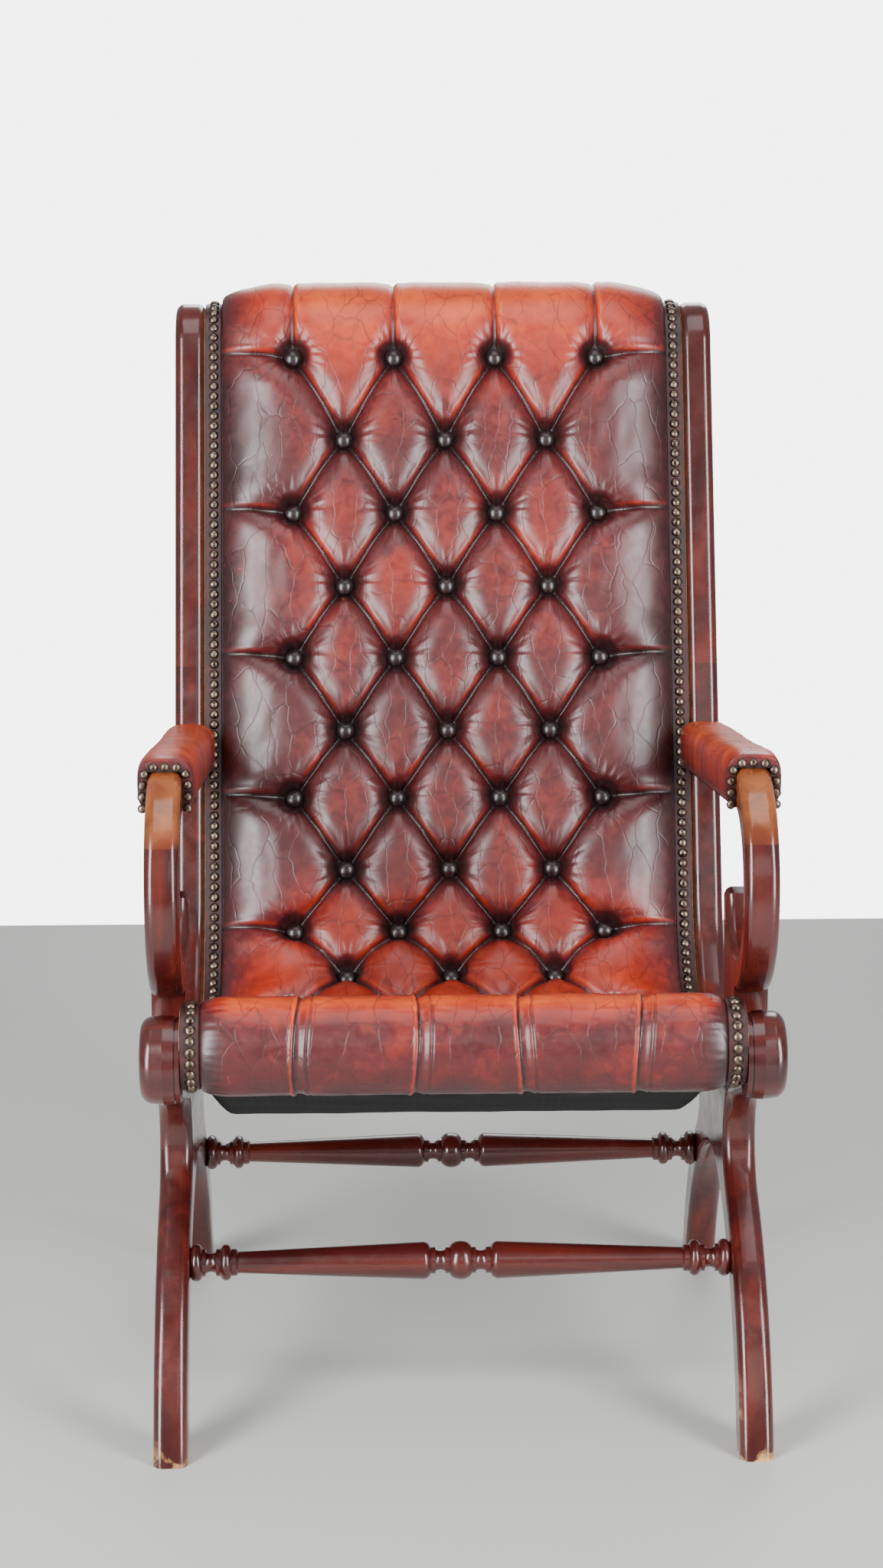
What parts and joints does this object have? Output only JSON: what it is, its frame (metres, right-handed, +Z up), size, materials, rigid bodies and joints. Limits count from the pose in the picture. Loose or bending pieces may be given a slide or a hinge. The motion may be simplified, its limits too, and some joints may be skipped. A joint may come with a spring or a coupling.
{
  "type": "chesterfield armchair",
  "caption": "Open-arm show-wood armchair with a deep-buttoned leather back and seat in one sweep, a front roll, scrolled padded arms and arched mahogany legs with turned stretchers",
  "frame": {"origin": "centre of the chair's outline in plan, on the floor", "axes": "X across the chair to the sitter's left, Y from front to back, Z up"},
  "size_m": [0.585, 0.7939, 1.0146],
  "materials": {
    "mahogany": "glossy, French polished",
    "beech": "bare, unfinished",
    "oxblood_leather": "hand-antiqued, semi-gloss",
    "dark_leather": "semi-gloss",
    "antique_brass": "aged",
    "steel": "plain",
    "jute": "woven",
    "black_cloth": "matte"
  },
  "bodies": {
    "root": {"arm_bearer_left": "mahogany", "arm_bearer_right": "mahogany", "arm_nails_left": "antique_brass", "arm_nails_right": "antique_brass", "arm_pad_left": "oxblood_leather", "arm_pad_right": "oxblood_leather", "arm_scroll_left": "mahogany", "arm_scroll_right": "mahogany", "back_webbing": "jute", "buttoned_back": "oxblood_leather", "buttoned_seat": "oxblood_leather", "crest_rail": "beech", "cross_rail_dowels": "beech", "dust_cover": "black_cloth", "edge_gimp_left": "dark_leather", "edge_gimp_right": "dark_leather", "edge_nails_left": "antique_brass", "edge_nails_right": "antique_brass", "frame_dowels_left": "beech", "frame_dowels_right": "beech", "front_leg_left": "mahogany", "front_leg_right": "mahogany", "front_roll": "oxblood_leather", "front_roll_core": "beech", "front_stretcher": "mahogany", "liner_left": "beech", "liner_right": "beech", "liner_screws_left": "steel", "liner_screws_right": "steel", "lower_back_rail": "beech", "outside_back": "oxblood_leather", "outside_back_nails": "antique_brass", "rear_leg_left": "mahogany", "rear_leg_right": "mahogany", "rear_stretcher": "mahogany", "roll_nails_left": "antique_brass", "roll_nails_right": "antique_brass", "roundel_left": "mahogany", "roundel_right": "mahogany", "seat_rail_left": "mahogany", "seat_rail_right": "mahogany", "seat_webbing": "jute", "tufting_buttons": "dark_leather", "upper_stile_left": "mahogany", "upper_stile_right": "mahogany"}
  },
  "joints": []
}
